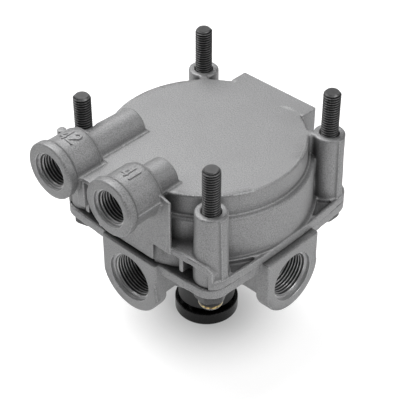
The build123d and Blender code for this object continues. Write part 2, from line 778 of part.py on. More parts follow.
def spring_seat():
    """The thin washer under the spring, centred on the guide collar."""
    return ring(guide_collar_r + spring_seat_play, spring_seat_r, guide_ledge_z, spring_seat_top)


def valve_guide():
    """The moulded guide in the bottom bore, with both seal grooves and the exhaust tail."""
    outer = guide_bore_r - guide_clearance
    bore = valve_stem_r + guide_clearance
    groove_outer = outer - 2 * guide_cord_r - cord_play
    half = guide_cord_r + groove_play / 2
    tail_inner = guide_tail_bore_r
    body = turned(
        (bore, guide_collar_top), (guide_collar_r, guide_collar_top, moulded_round),
        (guide_collar_r, guide_ledge_z), (outer, guide_ledge_z),
        (outer, guide_cord_z + half), (groove_outer, guide_cord_z + half),
        (groove_outer, guide_cord_z - half), (outer, guide_cord_z - half), (outer, guide_bottom),
        (guide_tail_r, guide_bottom), (guide_tail_r, guide_tail_bottom), (tail_inner, guide_tail_bottom),
        (tail_inner, guide_bottom), (bore, guide_bottom))
    stem_half = stem_cord_r + groove_play / 2
    stem_groove_r = bore + 2 * stem_cord_r + cord_play
    return body - ring(bore - cut_over, stem_groove_r, stem_cord_z - stem_half, stem_cord_z + stem_half)


def guide_circlip():
    """The snap ring that holds the guide in the lower housing."""
    top = guide_bottom - ring_play
    outer = guide_bore_r + circlip_depth - ring_play
    return split_ring(circlip_inner_r, outer, top - circlip_thickness, top, circlip_gap_angle, -45)


def piston_snap_ring():
    """The snap ring that keeps the control piston in its bore."""
    outer = upper_bore_r + snap_ring_depth - ring_play
    inner = upper_bore_r - snap_ring_inner
    return split_ring(inner, outer, snap_ring_bottom, snap_ring_top, snap_ring_gap_angle, 90)


def exhaust_sleeve():
    """The black sleeve round the guide tail, under the lower housing."""
    return turned(
        (guide_tail_r + sleeve_clearance, sleeve_bottom), (sleeve_r, sleeve_bottom, moulded_round),
        (sleeve_r, sleeve_top), (guide_tail_r + sleeve_clearance, sleeve_top))


def exhaust_ring():
    """The open ring that the valve stands on, held inside the guide tail by its collar."""
    wall_inner = exhaust_ring_r - exhaust_ring_wall
    body = turned(
        (exhaust_collar_inner, exhaust_floor_z), (exhaust_ring_r, exhaust_floor_z, moulded_round),
        (exhaust_ring_r, exhaust_ring_top, moulded_round), (wall_inner, exhaust_ring_top),
        (wall_inner, exhaust_floor_top), (exhaust_collar_r, exhaust_floor_top),
        (exhaust_collar_r, exhaust_collar_top), (exhaust_collar_inner, exhaust_collar_top))
    reach = exhaust_collar_inner + overlap
    spoke = box(0, reach, -exhaust_spoke_width / 2, exhaust_spoke_width / 2, spoke_bottom, spoke_top)
    for turn in range(exhaust_spokes):
        body += Rot(0, 0, turn * 360 / exhaust_spokes) * spoke
    body += post_at(0, 0, exhaust_hub_r, spoke_bottom, spoke_top)
    return body - post_at(0, 0, flap_stem_r + sleeve_clearance, spoke_bottom - cut_over, spoke_top + cut_over)


def exhaust_flap():
    """The thin rubber flap that hangs from the spokes by its knob."""
    flap_top = spoke_bottom - flap_play
    flap_bottom = flap_top - flap_thickness
    knob_z = spoke_top + flap_play
    return turned(
        (0, flap_bottom), (flap_r, flap_bottom), (flap_r, flap_bottom + flap_edge_thickness),
        (exhaust_hub_r, flap_top), (flap_stem_r, flap_top), (flap_stem_r, knob_z), (flap_knob_r, knob_z),
        (flap_tip_r, knob_z + flap_knob_height), (0, knob_z + flap_knob_height))


def save(name, shape):
    """Write one node to its own file."""
    solids = shape if isinstance(shape, list) else [shape]
    pieces = [piece for item in solids for piece in item.solids()]
    export_step(Compound(label=name, children=pieces), f"parts/{name}.step")


os.makedirs("parts", exist_ok=True)
save("upper_housing", upper_housing())
save("lower_housing", lower_housing())
save("cover_bolts", cover_bolts())
save("front_bolt_cap", front_bolt_cap())
save("housing_seal", o_ring(seal_ring_r, seal_cord_r, split_z - seal_cord_r - cord_play))
save("control_piston", control_piston())
save("control_piston_oring", piston_o_ring(control_piston_top, upper_bore_r))
save("piston_snap_ring", piston_snap_ring())
save("relay_piston", relay_piston())
save("relay_piston_oring", piston_o_ring(relay_piston_top, relay_bore_r))
save("valve_body", valve_body())
save("valve_rubber", valve_rubber())
save("valve_spring", valve_spring())
save("spring_seat", spring_seat())
save("valve_guide", valve_guide())
save("guide_outer_oring", o_ring(guide_bore_r - guide_clearance - guide_cord_r, guide_cord_r, guide_cord_z))
save("guide_stem_oring", o_ring(valve_stem_r + guide_clearance + stem_cord_r, stem_cord_r, stem_cord_z))
save("guide_circlip", guide_circlip())
save("exhaust_sleeve", exhaust_sleeve())
save("exhaust_ring", exhaust_ring())
save("exhaust_flap", exhaust_flap())
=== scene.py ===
from contextlib import contextmanager
from math import cos, pi, radians, sin

import bmesh
import bpy
import numpy as np
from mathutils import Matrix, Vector
from mathutils.bvhtree import BVHTree
from mathutils.kdtree import KDTree


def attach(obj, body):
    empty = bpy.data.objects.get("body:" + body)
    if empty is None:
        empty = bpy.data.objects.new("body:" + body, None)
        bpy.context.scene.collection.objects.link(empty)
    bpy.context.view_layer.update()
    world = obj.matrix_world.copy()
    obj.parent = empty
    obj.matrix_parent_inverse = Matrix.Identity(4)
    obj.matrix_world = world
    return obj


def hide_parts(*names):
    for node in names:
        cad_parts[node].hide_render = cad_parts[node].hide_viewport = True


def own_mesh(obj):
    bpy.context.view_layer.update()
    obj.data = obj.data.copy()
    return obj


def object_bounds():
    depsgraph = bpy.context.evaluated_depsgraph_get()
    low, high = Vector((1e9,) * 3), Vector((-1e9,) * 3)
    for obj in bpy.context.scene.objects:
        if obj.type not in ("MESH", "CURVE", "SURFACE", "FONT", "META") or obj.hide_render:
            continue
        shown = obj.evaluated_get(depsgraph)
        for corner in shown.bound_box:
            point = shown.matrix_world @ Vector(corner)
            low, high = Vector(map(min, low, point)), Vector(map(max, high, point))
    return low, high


# Looks of an air brake relay valve. Lengths are in millimetres and turned into metres by MM.
# The origin is on the valve axis, in the plane of the post tops. +Z is up along the studs
# and -Y is the side of the two control ports.

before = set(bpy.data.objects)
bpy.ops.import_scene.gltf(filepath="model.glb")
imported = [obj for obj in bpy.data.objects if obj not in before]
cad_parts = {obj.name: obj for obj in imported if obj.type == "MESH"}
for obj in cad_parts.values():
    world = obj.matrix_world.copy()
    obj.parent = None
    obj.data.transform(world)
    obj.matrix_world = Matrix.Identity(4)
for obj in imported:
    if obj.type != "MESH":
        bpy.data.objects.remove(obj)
cad_low, cad_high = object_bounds()
MM = 0.001

# Places that the dressed pieces share with the frame
STUD_XY = 38.4
STUD_TOP = cad_high[2] / MM
FLOOR_Z = cad_low[2] / MM
CONTROL_PORTS = {"41": 6.9, "42": -29.6}
CONTROL_FACE_Y = -66.6
CONTROL_TUBE_R = 12.2
LARGE_PORT_Z = -52.4
SUPPLY_FACE = 50.5
DELIVERY_FACE = 52.5
HEAD_TOP = -41.1
HEAD_HEIGHT = 5.4
HEAD_FLATS = 13.0
CAP_GLINT_Z = -49.6
SPLIT_Z = -36.3
FRONT_WALL_Y = -48.8

# Rooms and bores on the valve axis: radius, bottom and top
CONTROL_ROOM = (37.0, -19.9, -4.0)
RELAY_ROOM = (43.5, -36.4, -19.8)
DELIVERY_ROOM = (29.0, -60.0, SPLIT_Z)
SEAT_BORE = (12.5, -63.4, -45.0)
GUIDE_BORE = (14.0, -76.5, -63.5)

# Below this height, what faces the axis from within the rooms' radius is a room's wall. The cut metal
# and the part that gets no shade reach past the rooms by these lengths
ROOM_TOP = -4.5
ROOM_CUT_OVER = 0.7
RELAY_HIDDEN_OVER = 0.8
DELIVERY_HIDDEN_OVER = 0.3
HIDDEN_BELOW = 0.1

# The lobe at the back of the dome, which reaches farther than the solid's: low and high corner
LOBE = ((-21.9, 40.0, SPLIT_Z), (21.9, 49.2, 0.0))

# Raised port numbers on the tubes: half the width of a stroke's top, width of its flank, rise above
# and sink into the tube, thickness of the relief, the shares of the rise above which a flank gets a
# painted highlight and below which it gets painted shade, fineness, and the area round and along the tube
STROKE_HALF = 0.34
STROKE_FLANK = 0.34
STROKE_RISE = 0.5
STROKE_SINK = 0.15
STROKE_THICKNESS = 0.5
STROKE_HIGHLIGHT = 0.75
STROKE_SHADE = 0.6
STROKE_STEP = 0.09
NUMBER_ROUND = (-4.8, 5.4)
NUMBER_ALONG = (-58.3, -49.2)

# Casting skins: how near points are welded, their fineness, the long edges that are split again,
# and the sharp edges of the solids
WELD = 0.002
CAST_VOXEL = 0.45
CAST_SMOOTHING = 3
CAST_TRIANGLES = 110000
LONGEST_EDGE = 4.0
SPLIT_PASSES = 3
EDGE_ANGLE = radians(28)
EDGE_STEP = 0.35

# Reach of the marks on the skins: lighter edges, partly wear and partly painted highlight, and painted shade
# in inner corners and along the line where the castings meet
EDGE_REACH = 0.45
CORNER_SHADE_REACH = 0.9
SEAM_SHADE_REACH = 0.22
UPRIGHT = 0.8

# Faces and bores that lie true: how near a point has to be, how square it stands, how far it is moved
FLAT_SNAP = 0.12
FLAT_NORMAL = 0.97
FACE_INSET = 0.01
BORE_SNAP = 0.35
BORE_BACK = 0.1

# Shade in corners and pockets: rays per point, their reach, their start above the skin and how much
# less a far hit counts; the rays are spread by the golden angle
SHADE_RAYS = 24
SHADE_REACH = 16.0
SHADE_LIFT = 0.25
SHADE_FADE = 0.6
SHADE_ROUNDS = 2
GOLDEN_ANGLE = 2.399963

# Mouths of the ports: counterbore radius, its depth and how far the crisp rim reaches past it; then
# the depths of the linings and of the wall that they cover, the radius and depth within which the
# casting is cut metal, and the rim's back, bevel and sharp angle
SMALL_MOUTH = (9.0, 1.6, 1.5)
LARGE_MOUTH = (12.1, 2.0, 1.6)
SMALL_DEPTH = 15.3
LARGE_DEPTH = 16.2
LINED_DEPTH = 15.0
SMALL_CUT = (SMALL_MOUTH[0] + 0.25, SMALL_DEPTH + 1.7)
LARGE_CUT = (LARGE_MOUTH[0] + 0.3, LARGE_DEPTH + 1.8)
RIM_BACK = 2.5
RIM_BEVEL = 0.12
RIM_SHARP = radians(35)

# Threads: outer radius, core radius and pitch; then how they run in and out
SMALL_THREAD = (8.0, 7.19, 1.5)
LARGE_THREAD = (11.0, 10.19, 1.5)
STUD_THREAD = (3.98, 3.22, 1.25)
CREST_SHARE = 0.16
ROOT_SHARE = 0.14
ROWS_PER_PITCH = 12
LINING_SEGMENTS = {SMALL_THREAD[0]: 72, LARGE_THREAD[0]: 96}
RUN_IN = 1.3
RUN_OUT = 1.6
SLEEVE_SINK = 0.35
ROOT_INSET = 0.06

# Bolts: plain shank, start and run-in of the thread, gap under the frame's top, the bevel of the end,
# how far the shank reaches into the head, how dark the head is, and the worn length at the end
SHANK_R = 3.6
SHANK_TOP = -3.1
STUD_FOOT = -3.0
STUD_RUN_IN = 1.5
STUD_GAP = 0.02
END_BEVEL = 1.05
END_SLOPE = 0.9
HEAD_SINK = 0.5
HEAD_DARKNESS = 0.35
WORN_FROM = 0.5
WORN_OVER = 0.4
BOLT_SHARP = radians(38)
BOLT_SEGMENTS = 48
HEAD_SEGMENTS = 96
BOLT_TURNS = {"bolt_front": (1, -1, 0.1), "bolt_right": (1, 1, 0.55), "bolt_back": (-1, 1, 0.3),
              "bolt_left": (-1, -1, 0.8)}

# Light and shadow: the floor's gray, its glow near and far from the object, lower near it as a
# painted shadow, and the room's level
FLOOR_HALF = 3000
FLOOR_GRAY = 0.5
FLOOR_GLOW = (0.25, 0.78)
FLOOR_SHADOW_FADE = (0.005, 0.055)
ROOM_LEVEL = 0.14
LIGHTS = {"overhead": ((-0.45, 0.1, 0.95), (0, 0, 0), 0.8, 11.0),
          "left": ((-0.6, -0.2, 0.5), (0, 0, 0), 0.4, 1.4),
          "right_high": ((0.8, 0.05, 0.6), (0, 0, -0.03), 0.5, 4.2)}

# The camera stands where the photograph was taken from
AZIMUTH = radians(43.5)
ELEVATION = radians(38.4)
DISTANCE = 520.0
AIM = Vector((30.13, -36.41, 0.0))
FOCAL_PIXELS = 1257.0
PICTURE_PIXELS = 400.0
SENSOR_WIDTH = 36.0


def link(name, data):
    """A new object of the scene for a mesh, a lamp or a camera."""
    obj = bpy.data.objects.new(name, data)
    bpy.context.scene.collection.objects.link(obj)
    return obj


def build_mesh(name, points, faces):
    """A smooth shaded mesh from points in millimetres."""
    mesh = bpy.data.meshes.new(name)
    mesh.from_pydata([tuple(np.asarray(point, float) * MM) for point in points], [], faces)
    mesh.validate()
    mesh.polygons.foreach_set("use_smooth", [True] * len(mesh.polygons))
    return mesh


@contextmanager
def editing(mesh):
    """A mesh opened for changes of its faces, and written back at the end."""
    solid = bmesh.new()
    solid.from_mesh(mesh)
    yield solid
    solid.to_mesh(mesh)
    solid.free()


def outward(obj):
    """Turn the faces of a closed mesh to the outside."""
    with editing(obj.data) as solid:
        bmesh.ops.recalc_face_normals(solid, faces=solid.faces)


def round_angles(segments):
    """The angles of the points round a ring."""
    return np.linspace(0, 2 * pi, segments, endpoint=False)


def grid_faces(rows, columns, close_rows=False):
    """Quads over a grid whose columns run round a ring."""
    faces = []
    for row in range(rows if close_rows else rows - 1):
        above = (row + 1) % rows
        for column in range(columns):
            beside = (column + 1) % columns
            faces.append((row * columns + column, row * columns + beside,
                          above * columns + beside, above * columns + column))
    return faces


def fan(start, segments, centre):
    """Triangles that close a ring with one point in its middle."""
    return [(start + column, start + (column + 1) % segments, centre) for column in range(segments)]


def with_modifier(obj, kind, **settings):
    """Apply one modifier to an object's mesh."""
    modifier = obj.modifiers.new(kind.lower(), kind)
    for key, value in settings.items():
        setattr(modifier, key, value)
    mesh = bpy.data.meshes.new_from_object(obj.evaluated_get(bpy.context.evaluated_depsgraph_get()))
    obj.modifiers.clear()
    old = obj.data
    obj.data = mesh
    bpy.data.meshes.remove(old)


def read_vectors(items, key):
    """Three numbers per item of a mesh, as an array."""
    values = np.zeros(len(items) * 3, np.float32)
    items.foreach_get(key, values)
    return values.reshape(-1, 3).astype(float)


def coordinates(mesh):
    """The vertices of a mesh as an array in millimetres."""
    return read_vectors(mesh.vertices, "co") / MM


def vertex_normals(mesh):
    """The vertex normals of a mesh as an array."""
    return read_vectors(mesh.vertex_normals, "vector")


def set_coordinates(mesh, points):
    """Write vertices back from an array in millimetres."""
    mesh.vertices.foreach_set("co", (points * MM).astype(np.float32).ravel())
    mesh.update()


def set_attribute(mesh, name, values):
    """Store one number per vertex for the materials."""
    attribute = mesh.attributes.new(name, "FLOAT", "POINT")
    attribute.data.foreach_set("value", np.asarray(values, np.float32))


def sharp_edge_trees(mesh):
    """Search trees over points on the convex and on the concave sharp edges of a solid."""
    found = {True: [], False: []}
    solid = bmesh.new()
    solid.from_mesh(mesh)
    for edge in solid.edges:
        if len(edge.link_faces) != 2 or edge.calc_face_angle(0) < EDGE_ANGLE:
            continue
        start, end = (np.array(vert.co) / MM for vert in edge.verts)
        count = max(1, int(np.linalg.norm(end - start) / EDGE_STEP))
        for share in np.linspace(0, 1, count + 1):
            found[edge.is_convex].append(start + (end - start) * share)
    solid.free()
    trees = {}
    for convex, points in found.items():
        tree = KDTree(len(points))
        for index, point in enumerate(points):
            tree.insert(point, index)
        tree.balance()
        trees[convex] = tree
    return trees


def nearness(tree, points, reach):
    """How near each point lies to a tree's points, from 1 on them to 0 well past the reach."""
    distance = np.array([tree.find(point)[2] for point in points])
    return np.exp(-(distance / reach) ** 2)


def add_box(mesh, low, high):
    """Put a closed box into a mesh, to be joined with it by the remesh. Corners in millimetres."""
    corner = [(x, y, z) for x in (low[0], high[0]) for y in (low[1], high[1]) for z in (low[2], high[2])]
    with editing(mesh) as solid:
        verts = [solid.verts.new([value * MM for value in place]) for place in corner]
        for face in ((0, 1, 3, 2), (4, 6, 7, 5), (0, 4, 5, 1), (2, 3, 7, 6), (0, 2, 6, 4), (1, 5, 7, 3)):
            solid.faces.new([verts[index] for index in face])


def refine(obj):
    """Split the long edges that the decimation leaves on flat faces."""
    with editing(obj.data) as solid:
        for _ in range(SPLIT_PASSES):
            long = [edge for edge in solid.edges if edge.calc_length() > LONGEST_EDGE * MM]
            bmesh.ops.subdivide_edges(solid, edges=long, cuts=1)
            bmesh.ops.triangulate(solid, faces=[face for face in solid.faces if len(face.verts) > 3])


def shade(points, normals, tree, skip):
    """The share of the sky that is hidden at each point, from 0 in the open to 1 in a deep pocket."""
    spiral = np.arange(SHADE_RAYS) + 0.5
    reach = np.sqrt(spiral / SHADE_RAYS)
    turn = spiral * GOLDEN_ANGLE
    local = np.stack([reach * np.cos(turn), reach * np.sin(turn), np.sqrt(1 - reach ** 2)], axis=1)
    hidden = np.zeros(len(points))
    helper = np.where(abs(normals[:, 2:3]) < 0.9, (0.0, 0.0, 1.0), (1.0, 0.0, 0.0))
    first = np.cross(normals, helper)
    first /= np.linalg.norm(first, axis=1, keepdims=True) + 1e-9
    second = np.cross(normals, first)
    starts = (points + normals * SHADE_LIFT).tolist()
    for index in np.flatnonzero(~skip):
        rays = local @ np.stack([first[index], second[index], normals[index]])
        start = starts[index]
        count = 0.0
        for ray in rays.tolist():
            distance = tree.ray_cast(start, ray, SHADE_REACH)[3]
            if distance is not None:
                count += 1 - SHADE_FADE * distance / SHADE_REACH
        hidden[index] = count / SHADE_RAYS
    return hidden


def soften(mesh, values):
    """Even out numbers on the vertices along the edges."""
    ends = np.zeros(len(mesh.edges) * 2, np.int64)
    mesh.edges.foreach_get("vertices", ends)
    first, second = ends[::2], ends[1::2]
    for _ in range(SHADE_ROUNDS):
        total = values.copy()
        count = np.ones(len(values))
        np.add.at(total, first, values[second])
        np.add.at(total, second, values[first])
        np.add.at(count, first, 1)
        np.add.at(count, second, 1)
        values = total / count
    return values


def clear_ports(points, ports):
    """Move the walls of the port mouths out behind their threaded linings."""
    for across, along, centre, face, mouth, thread in ports:
        offset = points[:, list(across)] - centre
        distance = np.hypot(offset[:, 0], offset[:, 1])
        depth = abs(points[:, along] - face)
        # Each band of the wall: inner and outer radius, and the depths between which it lies
        counterbore = (mouth[0] - 0.8, mouth[0] + 0.25, -0.1, mouth[1] - 0.25)
        threaded = (thread[0] - 0.6, thread[0] + 0.2, mouth[1] + 0.2, LINED_DEPTH)
        for inner, outer, low, high in (counterbore, threaded):
            near = (distance > inner) & (distance < outer) & (depth > low) & (depth < high)
            offset[near] *= (outer / distance[near])[:, None]
        points[:, list(across)] = offset + centre


def faces_axis(points, normals):
    """Which points of a mesh face the valve axis."""
    return (normals[:, 0] * points[:, 0] + normals[:, 1] * points[:, 1]) < 0


def remesh(skin):
    """Give a solid the soft edges of a casting, within the limit on triangles."""
    with_modifier(skin, "REMESH", mode="VOXEL", voxel_size=CAST_VOXEL * MM, adaptivity=0.0)
    with_modifier(skin, "SMOOTH", factor=0.5, iterations=CAST_SMOOTHING)
    with_modifier(skin, "TRIANGULATE")
    triangles = len(skin.data.polygons)
    if triangles > CAST_TRIANGLES:
        with_modifier(skin, "DECIMATE", ratio=CAST_TRIANGLES / triangles)
        refine(skin)


def true_faces(points, normals, flats, bores):
    """Flatten the machined faces again, and keep the walls of the bores out of what slides in them."""
    for axis, value in flats:
        near = (abs(points[:, axis] - value) < FLAT_SNAP) & (abs(normals[:, axis]) > FLAT_NORMAL)
        points[near, axis] = value
    for radius, low, high in bores:
        distance = np.hypot(points[:, 0], points[:, 1])
        near = (abs(distance - radius) < BORE_SNAP) & (points[:, 2] > low) & (points[:, 2] < high)
        short = near & faces_axis(points, normals) & (distance < radius + BORE_BACK)
        points[short, :2] *= ((radius + BORE_BACK) / distance[short])[:, None]


def cast_skin(name, node, flats, bores, machined, ports, added=None):
    """A cast piece with soft edges in place of a node, and the marks that its material reads."""
    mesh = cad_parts[node].data.copy()
    with editing(mesh) as solid:
        bmesh.ops.remove_doubles(solid, verts=solid.verts, dist=WELD * MM)
    if added:
        add_box(mesh, *added)
    trees = sharp_edge_trees(mesh)
    skin = link(name, mesh)
    remesh(skin)
    points = coordinates(skin.data)
    normals = vertex_normals(skin.data)
    true_faces(points, normals, flats, bores)
    clear_ports(points, ports)
    set_coordinates(skin.data, points)
    skin.data.materials.clear()
    skin.data.polygons.foreach_set("use_smooth", [True] * len(skin.data.polygons))
    # Painted shade along the line where the castings meet, where the outer edges also lose their painted
    # highlight.
    seam_shade = np.exp(-((points[:, 2] - SPLIT_Z) / SEAM_SHADE_REACH) ** 2) * (abs(normals[:, 2]) < UPRIGHT)
    # Lighter outer edges, partly wear and partly painted highlight.
    set_attribute(skin.data, "edge", nearness(trees[True], points, EDGE_REACH) * (1 - seam_shade))
    # Painted shade in the inner corners.
    set_attribute(skin.data, "corner_shade", nearness(trees[False], points, CORNER_SHADE_REACH))
    set_attribute(skin.data, "seam_shade", seam_shade)
    set_attribute(skin.data, "machined", machined(points, normals))
    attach(skin, "housing")
    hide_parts(node)
    return skin


def upper_machined(points, normals):
    """Where the upper casting is machined: the small port mouths and the piston bores."""
    depth = points[:, 1] - CONTROL_FACE_Y
    found = np.zeros(len(points))
    for x in CONTROL_PORTS.values():
        distance = np.hypot(points[:, 0] - x, points[:, 2])
        found[(distance < SMALL_CUT[0]) & (depth < SMALL_CUT[1])] = 1
    radius = np.hypot(points[:, 0], points[:, 1])
    in_room = (radius < RELAY_ROOM[0] + ROOM_CUT_OVER) & (points[:, 2] < ROOM_TOP)
    found[in_room & faces_axis(points, normals)] = 1
    return found


def lower_machined(points, normals):
    """Where the lower casting is machined: the large port mouths."""
    found = np.zeros(len(points))
    for across, along, face in ((0, 1, SUPPLY_FACE), (1, 0, DELIVERY_FACE)):
        distance = np.hypot(points[:, across], points[:, 2] - LARGE_PORT_Z)
        depth = face - abs(points[:, along])
        found[(distance < LARGE_CUT[0]) & (depth < LARGE_CUT[1])] = 1
    return found


def shade_skins(skins):
    """Store the shade on the cast skins; the hidden insides are left in the open."""
    corners = []
    triangles = []
    for skin in skins:
        skin.data.calc_loop_triangles()
        faces = np.zeros(len(skin.data.loop_triangles) * 3, np.int64)
        skin.data.loop_triangles.foreach_get("vertices", faces)
        triangles += (faces.reshape(-1, 3) + len(corners)).tolist()
        corners += coordinates(skin.data).tolist()
    tree = BVHTree.FromPolygons(corners, triangles, all_triangles=True)
    for skin in skins:
        points = coordinates(skin.data)
        normals = vertex_normals(skin.data)
        radius = np.hypot(points[:, 0], points[:, 1])
        height = points[:, 2]
        split = SPLIT_Z - HIDDEN_BELOW
        upper = (height < ROOM_TOP) & (height > split) & (radius < RELAY_ROOM[0] + RELAY_HIDDEN_OVER)
        lower = (height < split) & (height > DELIVERY_ROOM[1] - HIDDEN_BELOW)
        lower &= radius < DELIVERY_ROOM[0] + DELIVERY_HIDDEN_OVER
        hidden = shade(points, normals, tree, upper | lower)
        set_attribute(skin.data, "shade", soften(skin.data, hidden))


def thread_wave(turn):
    """Share of the thread depth over one turn: 0 on the crest and 1 on the root."""
    ramp = abs(turn % 1.0 - 0.5) * 2
    return np.clip((ramp - CREST_SHARE) / (1 - CREST_SHARE - ROOT_SHARE), 0, 1)


def port_thread(name, thread, mouth, face, end, place, materials):
    """The threaded lining of a port with the crisp rim of its mouth, down to a depth along the axis."""
    major, core, pitch = thread
    segments = LINING_SEGMENTS[major]
    bore_r, start, rim = mouth
    rows = int((end - start) / pitch * ROWS_PER_PITCH)
    points = []
    groove_shade_and_head_tone = []
    depth_shade = []
    for row in range(rows + 1):
        depth = start + (end - start) * row / rows
        lead = min(1, (depth - start) / RUN_IN, (end - depth) / RUN_OUT)
        for column in range(segments):
            turn = column / segments
            wave = thread_wave(depth / pitch + turn)
            crest = core + (major - ROOT_INSET - core) * (1 - lead)
            radius = crest + (major - ROOT_INSET - crest) * wave
            points.append(place(radius, turn * 2 * pi, face - depth))
            # Painted shade in the thread roots.
            groove_shade_and_head_tone.append(wave * max(lead, 0))
            # Painted shade that grows with the depth into the bore.
            depth_shade.append(row / rows)
    outline = [(major + SLEEVE_SINK, end), (major + SLEEVE_SINK, RIM_BACK), (bore_r + rim, RIM_BACK),
               (bore_r + rim, 0), (bore_r + RIM_BEVEL, 0), (bore_r, RIM_BEVEL), (bore_r, start)]
    for radius, depth in outline:
        points += [place(radius, column / segments * 2 * pi, face - depth) for column in range(segments)]
    plain = [0.0] * (len(outline) * segments)
    ring_count = rows + 1 + len(outline)
    piece = link(name, build_mesh(name, points, grid_faces(ring_count, segments, close_rows=True)))
    set_attribute(piece.data, "groove_shade_and_head_tone", groove_shade_and_head_tone + plain)
    set_attribute(piece.data, "depth", depth_shade + plain)
    outward(piece)
    piece.data.set_sharp_from_angle(angle=RIM_SHARP)
    dress(piece, *materials)
    rim_row = rows + 1 + outline.index((bore_r + rim, 0))
    for index in range(rim_row * segments, (rim_row + 1) * segments):
        piece.data.polygons[index].material_index = 1
    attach(piece, "housing")


def towards_minus_y(x, z):
    """Places a point of a port that opens to -Y."""
    return lambda radius, angle, out: (x + radius * cos(angle), -out, z + radius * sin(angle))


def towards_x(side, z):
    """Places a point of a port that opens to +X or -X."""
    return lambda radius, angle, out: (side * out, radius * cos(angle), z + radius * sin(angle))


def port_threads(*materials):
    """The linings of all five ports, in the cut metal with the rims in the cast one."""
    for number, x in CONTROL_PORTS.items():
        port_thread("port_thread_" + number, SMALL_THREAD, SMALL_MOUTH, -CONTROL_FACE_Y, SMALL_DEPTH,
                    towards_minus_y(x, 0), materials)
    port_thread("port_thread_supply", LARGE_THREAD, LARGE_MOUTH, SUPPLY_FACE, LARGE_DEPTH,
                towards_minus_y(0, LARGE_PORT_Z), materials)
    for side, word in ((1, "right"), (-1, "left")):
        port_thread("port_thread_" + word, LARGE_THREAD, LARGE_MOUTH, DELIVERY_FACE, LARGE_DEPTH,
                    towards_x(side, LARGE_PORT_Z), materials)


def bolt(name, x, y, turn):
    """One long bolt: hex head below the flange, plain shank and a rolled thread up to the end."""
    major, core, pitch = STUD_THREAD
    segments = BOLT_SEGMENTS
    points = []
    groove_shade_and_head_tone = []
    for z in (HEAD_TOP + HEAD_SINK, SHANK_TOP):
        points += [(x + SHANK_R * cos(angle), y + SHANK_R * sin(angle), z)
                   for angle in round_angles(segments)]
        groove_shade_and_head_tone += [0] * segments
    start, end = STUD_FOOT, STUD_TOP - STUD_GAP
    rows = int((end - start) / pitch * ROWS_PER_PITCH)
    for row in range(rows + 1):
        z = start + (end - start) * row / rows
        lead = min(1, (z - start) / STUD_RUN_IN)
        for column in range(segments):
            share = column / segments
            wave = thread_wave(z / pitch - share + turn) * lead
            radius = major - (major - core) * wave
            bevel = major - END_BEVEL + (end - z) * END_SLOPE
            # Painted shade in the thread roots, left off the bevelled end.
            groove_shade_and_head_tone.append(wave if bevel > radius else 0)
            radius = min(radius, bevel)
            points.append((x + radius * cos(share * 2 * pi), y + radius * sin(share * 2 * pi), z))
    ring_count = rows + 3
    points += [(x, y, end), (x, y, HEAD_TOP + HEAD_SINK)]
    base = len(points)
    faces = grid_faces(ring_count, segments)
    faces += fan((ring_count - 1) * segments, segments, base - 2) + fan(0, segments, base - 1)
    head_points, head_faces = hex_head(x, y, turn)
    points += head_points
    faces += [tuple(index + base for index in face) for face in head_faces]
    # The head is made darker through the same channel as the painted groove shade.
    groove_shade_and_head_tone += [HEAD_DARKNESS] * (len(points) - len(groove_shade_and_head_tone))
    piece = link(name, build_mesh(name, points, faces))
    set_attribute(piece.data, "groove_shade_and_head_tone", groove_shade_and_head_tone)
    outward(piece)
    piece.data.set_sharp_from_angle(angle=BOLT_SHARP)
    points = coordinates(piece.data)
    set_attribute(piece.data, "worn", np.clip((points[:, 2] - STUD_TOP + WORN_FROM) / WORN_OVER, 0, 1))
    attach(piece, "housing")
    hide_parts("cover_bolts")
    return piece


def hex_head(x, y, turn):
    """Points and faces of a bolt head with a washer face above and chamfered corners below."""
    half = HEAD_FLATS / 2
    bottom = HEAD_TOP - HEAD_HEIGHT
    corner = half / cos(pi / 6)
    rows = [(HEAD_TOP, half - 0.2), (HEAD_TOP - 0.5, half - 0.15), (HEAD_TOP - 0.55, corner - 0.25),
            (HEAD_TOP - 0.9, corner), (bottom + 1.1, corner), (bottom + 0.7, corner - 0.25),
            (bottom + 0.35, corner - 0.55), (bottom, half - 0.35), (bottom, half - 1.0), (bottom, 3.2)]
    segments = HEAD_SEGMENTS
    points = []
    for z, limit in rows:
        for angle in round_angles(segments):
            flat = half / cos((angle + turn) % (pi / 3) - pi / 6)
            radius = min(flat, limit)
            points.append((x + radius * cos(angle), y + radius * sin(angle), z))
    faces = grid_faces(len(rows), segments)
    for row, centre_z in ((0, HEAD_TOP), (len(rows) - 1, bottom)):
        faces += fan(row * segments, segments, len(points))
        points.append((x, y, centre_z))
    return points, faces


def bolts():
    """The four bolts, each turned differently."""
    return [bolt(name, side_x * STUD_XY, side_y * STUD_XY, turn)
            for name, (side_x, side_y, turn) in BOLT_TURNS.items()]


def numeral_paths():
    """Centre lines of the port numbers, as (way round the tube from its top, y) in millimetres."""
    def four(stem):
        return [(stem, -57.2), (stem, -50.9), (stem - 2.5, -55.9), (stem + 0.5, -55.9)]

    one = [(3.1, -57.2), (3.1, -50.9)]
    two = [(4.1, -56.8), (0.7, -56.8), (3.6, -52.8), (3.95, -51.7), (3.6, -50.7), (2.8, -50.2),
           (1.9, -50.4), (1.4, -51.3)]
    return {"41": [four(0.35), one], "42": [four(-1.1), two]}


def line_distance(across, along, path):
    """How far each point of a grid lies from a line of several straight pieces."""
    nearest = np.full(across.shape, 1e9)
    for (s0, y0), (s1, y1) in zip(path, path[1:]):
        ds, dy = s1 - s0, y1 - y0
        share = ((across - s0) * ds + (along - y0) * dy) / (ds ** 2 + dy ** 2)
        share = np.clip(share, 0, 1)
        nearest = np.minimum(nearest, np.hypot(across - s0 - share * ds, along - y0 - share * dy))
    return nearest


